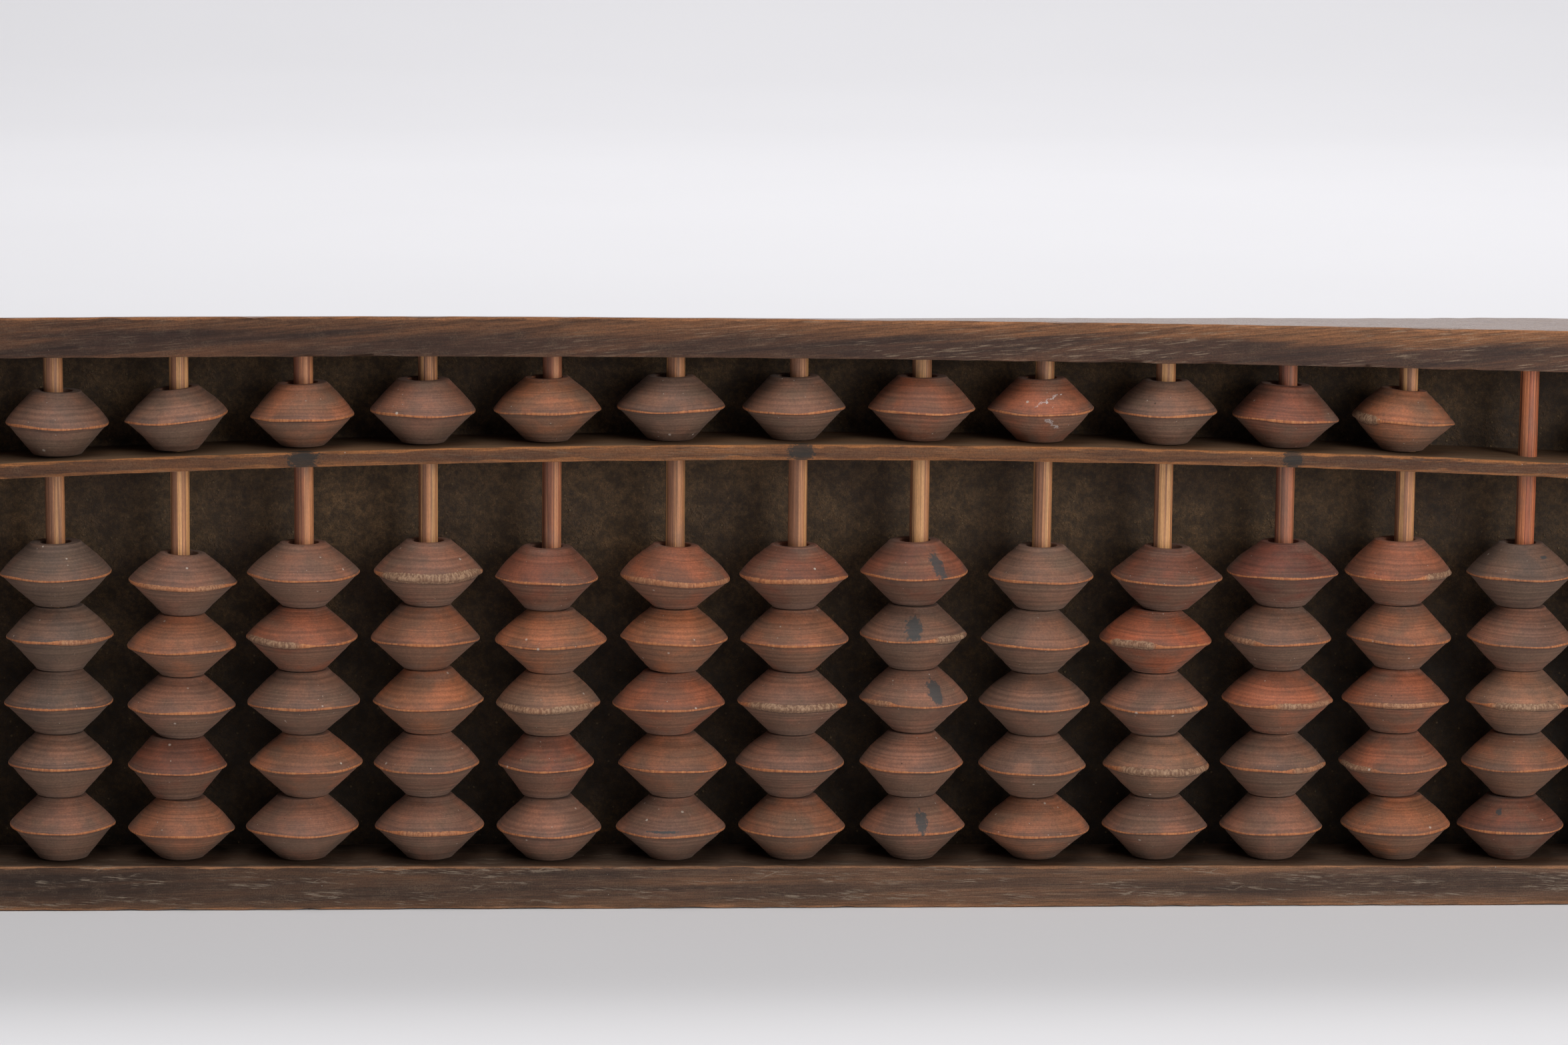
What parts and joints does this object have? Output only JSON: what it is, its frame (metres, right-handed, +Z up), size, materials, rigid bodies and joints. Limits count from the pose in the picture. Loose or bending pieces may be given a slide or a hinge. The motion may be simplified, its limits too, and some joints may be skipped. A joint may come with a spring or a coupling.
{
  "type": "abacus",
  "caption": "Old wooden bead frame for counting: turned beads slide on bamboo rods, one above a bowed beam and five below it, with a board behind.",
  "frame": {"origin": "on the standing surface, at the middle of the whole object's length and depth, beads included", "axes": "+Z up, +X along the row of rods to the right of a person facing the beads, and the beads face -Y"},
  "size_m": [0.39, 0.025, 0.1165],
  "materials": {
    "rail_wood": "old dark red-brown hardwood, worn to a dull polish, paler along its edges",
    "beam_wood": "worn orange-brown hardwood, dusty face, ink at three unit rods",
    "board_wood": "dark brown softwood board, matt and dusty",
    "bamboo": "split bamboo, fine lengthwise fibres, satin",
    "bead_wood": "turned red-brown hardwood, fine lathe rings, worn orange edge",
    "peg_wood": "bamboo end grain",
    "nail_iron": "dark rusted iron"
  },
  "bodies": {
    "root": {"top_rail": "rail_wood", "bottom_rail": "rail_wood", "left_end": "rail_wood", "right_end": "rail_wood", "beam": "beam_wood", "backboard": "board_wood", "rods": "bamboo", "corner_pegs": "peg_wood", "board_nails": "nail_iron"},
    "heaven_bead_01": {"heaven_bead_01": "bead_wood"},
    "lower_earth_beads_01": {"lower_earth_beads_01": "bead_wood"},
    "top_earth_bead_01": {"top_earth_bead_01": "bead_wood"},
    "heaven_bead_02": {"heaven_bead_02": "bead_wood"},
    "lower_earth_beads_02": {"lower_earth_beads_02": "bead_wood"},
    "top_earth_bead_02": {"top_earth_bead_02": "bead_wood"},
    "heaven_bead_03": {"heaven_bead_03": "bead_wood"},
    "lower_earth_beads_03": {"lower_earth_beads_03": "bead_wood"},
    "top_earth_bead_03": {"top_earth_bead_03": "bead_wood"},
    "heaven_bead_04": {"heaven_bead_04": "bead_wood"},
    "lower_earth_beads_04": {"lower_earth_beads_04": "bead_wood"},
    "top_earth_bead_04": {"top_earth_bead_04": "bead_wood"},
    "heaven_bead_05": {"heaven_bead_05": "bead_wood"},
    "lower_earth_beads_05": {"lower_earth_beads_05": "bead_wood"},
    "top_earth_bead_05": {"top_earth_bead_05": "bead_wood"},
    "heaven_bead_06": {"heaven_bead_06": "bead_wood"},
    "lower_earth_beads_06": {"lower_earth_beads_06": "bead_wood"},
    "top_earth_bead_06": {"top_earth_bead_06": "bead_wood"},
    "heaven_bead_07": {"heaven_bead_07": "bead_wood"},
    "lower_earth_beads_07": {"lower_earth_beads_07": "bead_wood"},
    "top_earth_bead_07": {"top_earth_bead_07": "bead_wood"},
    "heaven_bead_08": {"heaven_bead_08": "bead_wood"},
    "lower_earth_beads_08": {"lower_earth_beads_08": "bead_wood"},
    "top_earth_bead_08": {"top_earth_bead_08": "bead_wood"},
    "heaven_bead_09": {"heaven_bead_09": "bead_wood"},
    "lower_earth_beads_09": {"lower_earth_beads_09": "bead_wood"},
    "top_earth_bead_09": {"top_earth_bead_09": "bead_wood"},
    "heaven_bead_10": {"heaven_bead_10": "bead_wood"},
    "lower_earth_beads_10": {"lower_earth_beads_10": "bead_wood"},
    "top_earth_bead_10": {"top_earth_bead_10": "bead_wood"},
    "heaven_bead_11": {"heaven_bead_11": "bead_wood"},
    "lower_earth_beads_11": {"lower_earth_beads_11": "bead_wood"},
    "top_earth_bead_11": {"top_earth_bead_11": "bead_wood"},
    "heaven_bead_12": {"heaven_bead_12": "bead_wood"},
    "lower_earth_beads_12": {"lower_earth_beads_12": "bead_wood"},
    "top_earth_bead_12": {"top_earth_bead_12": "bead_wood"},
    "heaven_bead_13": {"heaven_bead_13": "bead_wood"},
    "lower_earth_beads_13": {"lower_earth_beads_13": "bead_wood"},
    "top_earth_bead_13": {"top_earth_bead_13": "bead_wood"},
    "lower_earth_beads_14": {"lower_earth_beads_14": "bead_wood"},
    "top_earth_bead_14": {"top_earth_bead_14": "bead_wood"},
    "heaven_bead_15": {"heaven_bead_15": "bead_wood"},
    "lower_earth_beads_15": {"lower_earth_beads_15": "bead_wood"},
    "top_earth_bead_15": {"top_earth_bead_15": "bead_wood"}
  },
  "joints": [
    {"name": "heaven_slide_01", "type": "slide", "parent": "root", "child": "heaven_bead_01", "axis": [0, 0, 1], "range_m": [0, 0.0079]},
    {"name": "lower_earth_slide_01", "type": "slide", "parent": "root", "child": "lower_earth_beads_01", "axis": [0, 0, 1], "range_m": [0, 0.01205]},
    {"name": "top_earth_slide_01", "type": "slide", "parent": "lower_earth_beads_01", "child": "top_earth_bead_01", "axis": [0, 0, -1], "range_m": [-0.01205, 0]},
    {"name": "heaven_slide_02", "type": "slide", "parent": "root", "child": "heaven_bead_02", "axis": [0, 0, 1], "range_m": [0, 0.007]},
    {"name": "lower_earth_slide_02", "type": "slide", "parent": "root", "child": "lower_earth_beads_02", "axis": [0, 0, 1], "range_m": [0, 0.0134]},
    {"name": "top_earth_slide_02", "type": "slide", "parent": "lower_earth_beads_02", "child": "top_earth_bead_02", "axis": [0, 0, -1], "range_m": [-0.0134, 0]},
    {"name": "heaven_slide_03", "type": "slide", "parent": "root", "child": "heaven_bead_03", "axis": [0, 0, 1], "range_m": [0, 0.00625]},
    {"name": "lower_earth_slide_03", "type": "slide", "parent": "root", "child": "lower_earth_beads_03", "axis": [0, 0, 1], "range_m": [0, 0.01655]},
    {"name": "top_earth_slide_03", "type": "slide", "parent": "lower_earth_beads_03", "child": "top_earth_bead_03", "axis": [0, 0, -1], "range_m": [-0.01655, 0]},
    {"name": "heaven_slide_04", "type": "slide", "parent": "root", "child": "heaven_bead_04", "axis": [0, 0, 1], "range_m": [0, 0.0056]},
    {"name": "lower_earth_slide_04", "type": "slide", "parent": "root", "child": "lower_earth_beads_04", "axis": [0, 0, 1], "range_m": [0, 0.01555]},
    {"name": "top_earth_slide_04", "type": "slide", "parent": "lower_earth_beads_04", "child": "top_earth_bead_04", "axis": [0, 0, -1], "range_m": [-0.01555, 0]},
    {"name": "heaven_slide_05", "type": "slide", "parent": "root", "child": "heaven_bead_05", "axis": [0, 0, 1], "range_m": [0, 0.00505]},
    {"name": "lower_earth_slide_05", "type": "slide", "parent": "root", "child": "lower_earth_beads_05", "axis": [0, 0, 1], "range_m": [0, 0.01585]},
    {"name": "top_earth_slide_05", "type": "slide", "parent": "lower_earth_beads_05", "child": "top_earth_bead_05", "axis": [0, 0, -1], "range_m": [-0.01585, 0]},
    {"name": "heaven_slide_06", "type": "slide", "parent": "root", "child": "heaven_bead_06", "axis": [0, 0, 1], "range_m": [0, 0.0046]},
    {"name": "lower_earth_slide_06", "type": "slide", "parent": "root", "child": "lower_earth_beads_06", "axis": [0, 0, 1], "range_m": [0, 0.01745]},
    {"name": "top_earth_slide_06", "type": "slide", "parent": "lower_earth_beads_06", "child": "top_earth_bead_06", "axis": [0, 0, -1], "range_m": [-0.01745, 0]},
    {"name": "heaven_slide_07", "type": "slide", "parent": "root", "child": "heaven_bead_07", "axis": [0, 0, 1], "range_m": [0, 0.0043]},
    {"name": "lower_earth_slide_07", "type": "slide", "parent": "root", "child": "lower_earth_beads_07", "axis": [0, 0, 1], "range_m": [0, 0.0174]},
    {"name": "top_earth_slide_07", "type": "slide", "parent": "lower_earth_beads_07", "child": "top_earth_bead_07", "axis": [0, 0, -1], "range_m": [-0.0174, 0]},
    {"name": "heaven_slide_08", "type": "slide", "parent": "root", "child": "heaven_bead_08", "axis": [0, 0, 1], "range_m": [0, 0.00405]},
    {"name": "lower_earth_slide_08", "type": "slide", "parent": "root", "child": "lower_earth_beads_08", "axis": [0, 0, 1], "range_m": [0, 0.01765]},
    {"name": "top_earth_slide_08", "type": "slide", "parent": "lower_earth_beads_08", "child": "top_earth_bead_08", "axis": [0, 0, -1], "range_m": [-0.01765, 0]},
    {"name": "heaven_slide_09", "type": "slide", "parent": "root", "child": "heaven_bead_09", "axis": [0, 0, 1], "range_m": [0, 0.0039]},
    {"name": "lower_earth_slide_09", "type": "slide", "parent": "root", "child": "lower_earth_beads_09", "axis": [0, 0, 1], "range_m": [0, 0.01665]},
    {"name": "top_earth_slide_09", "type": "slide", "parent": "lower_earth_beads_09", "child": "top_earth_bead_09", "axis": [0, 0, -1], "range_m": [-0.01665, 0]},
    {"name": "heaven_slide_10", "type": "slide", "parent": "root", "child": "heaven_bead_10", "axis": [0, 0, 1], "range_m": [0, 0.00385]},
    {"name": "lower_earth_slide_10", "type": "slide", "parent": "root", "child": "lower_earth_beads_10", "axis": [0, 0, 1], "range_m": [0, 0.01745]},
    {"name": "top_earth_slide_10", "type": "slide", "parent": "lower_earth_beads_10", "child": "top_earth_bead_10", "axis": [0, 0, -1], "range_m": [-0.01745, 0]},
    {"name": "heaven_slide_11", "type": "slide", "parent": "root", "child": "heaven_bead_11", "axis": [0, 0, 1], "range_m": [0, 0.0039]},
    {"name": "lower_earth_slide_11", "type": "slide", "parent": "root", "child": "lower_earth_beads_11", "axis": [0, 0, 1], "range_m": [0, 0.0171]},
    {"name": "top_earth_slide_11", "type": "slide", "parent": "lower_earth_beads_11", "child": "top_earth_bead_11", "axis": [0, 0, -1], "range_m": [-0.0171, 0]},
    {"name": "heaven_slide_12", "type": "slide", "parent": "root", "child": "heaven_bead_12", "axis": [0, 0, 1], "range_m": [0, 0.00405]},
    {"name": "lower_earth_slide_12", "type": "slide", "parent": "root", "child": "lower_earth_beads_12", "axis": [0, 0, 1], "range_m": [0, 0.0155]},
    {"name": "top_earth_slide_12", "type": "slide", "parent": "lower_earth_beads_12", "child": "top_earth_bead_12", "axis": [0, 0, -1], "range_m": [-0.0155, 0]},
    {"name": "heaven_slide_13", "type": "slide", "parent": "root", "child": "heaven_bead_13", "axis": [0, 0, 1], "range_m": [0, 0.00435]},
    {"name": "lower_earth_slide_13", "type": "slide", "parent": "root", "child": "lower_earth_beads_13", "axis": [0, 0, 1], "range_m": [0, 0.01425]},
    {"name": "top_earth_slide_13", "type": "slide", "parent": "lower_earth_beads_13", "child": "top_earth_bead_13", "axis": [0, 0, -1], "range_m": [-0.01425, 0]},
    {"name": "lower_earth_slide_14", "type": "slide", "parent": "root", "child": "lower_earth_beads_14", "axis": [0, 0, 1], "range_m": [0, 0.01385]},
    {"name": "top_earth_slide_14", "type": "slide", "parent": "lower_earth_beads_14", "child": "top_earth_bead_14", "axis": [0, 0, -1], "range_m": [-0.01385, 0]},
    {"name": "heaven_slide_15", "type": "slide", "parent": "root", "child": "heaven_bead_15", "axis": [0, 0, 1], "range_m": [0, 0.00525]},
    {"name": "lower_earth_slide_15", "type": "slide", "parent": "root", "child": "lower_earth_beads_15", "axis": [0, 0, 1], "range_m": [0, 0.0137]},
    {"name": "top_earth_slide_15", "type": "slide", "parent": "lower_earth_beads_15", "child": "top_earth_bead_15", "axis": [0, 0, -1], "range_m": [-0.0137, 0]}
  ]
}
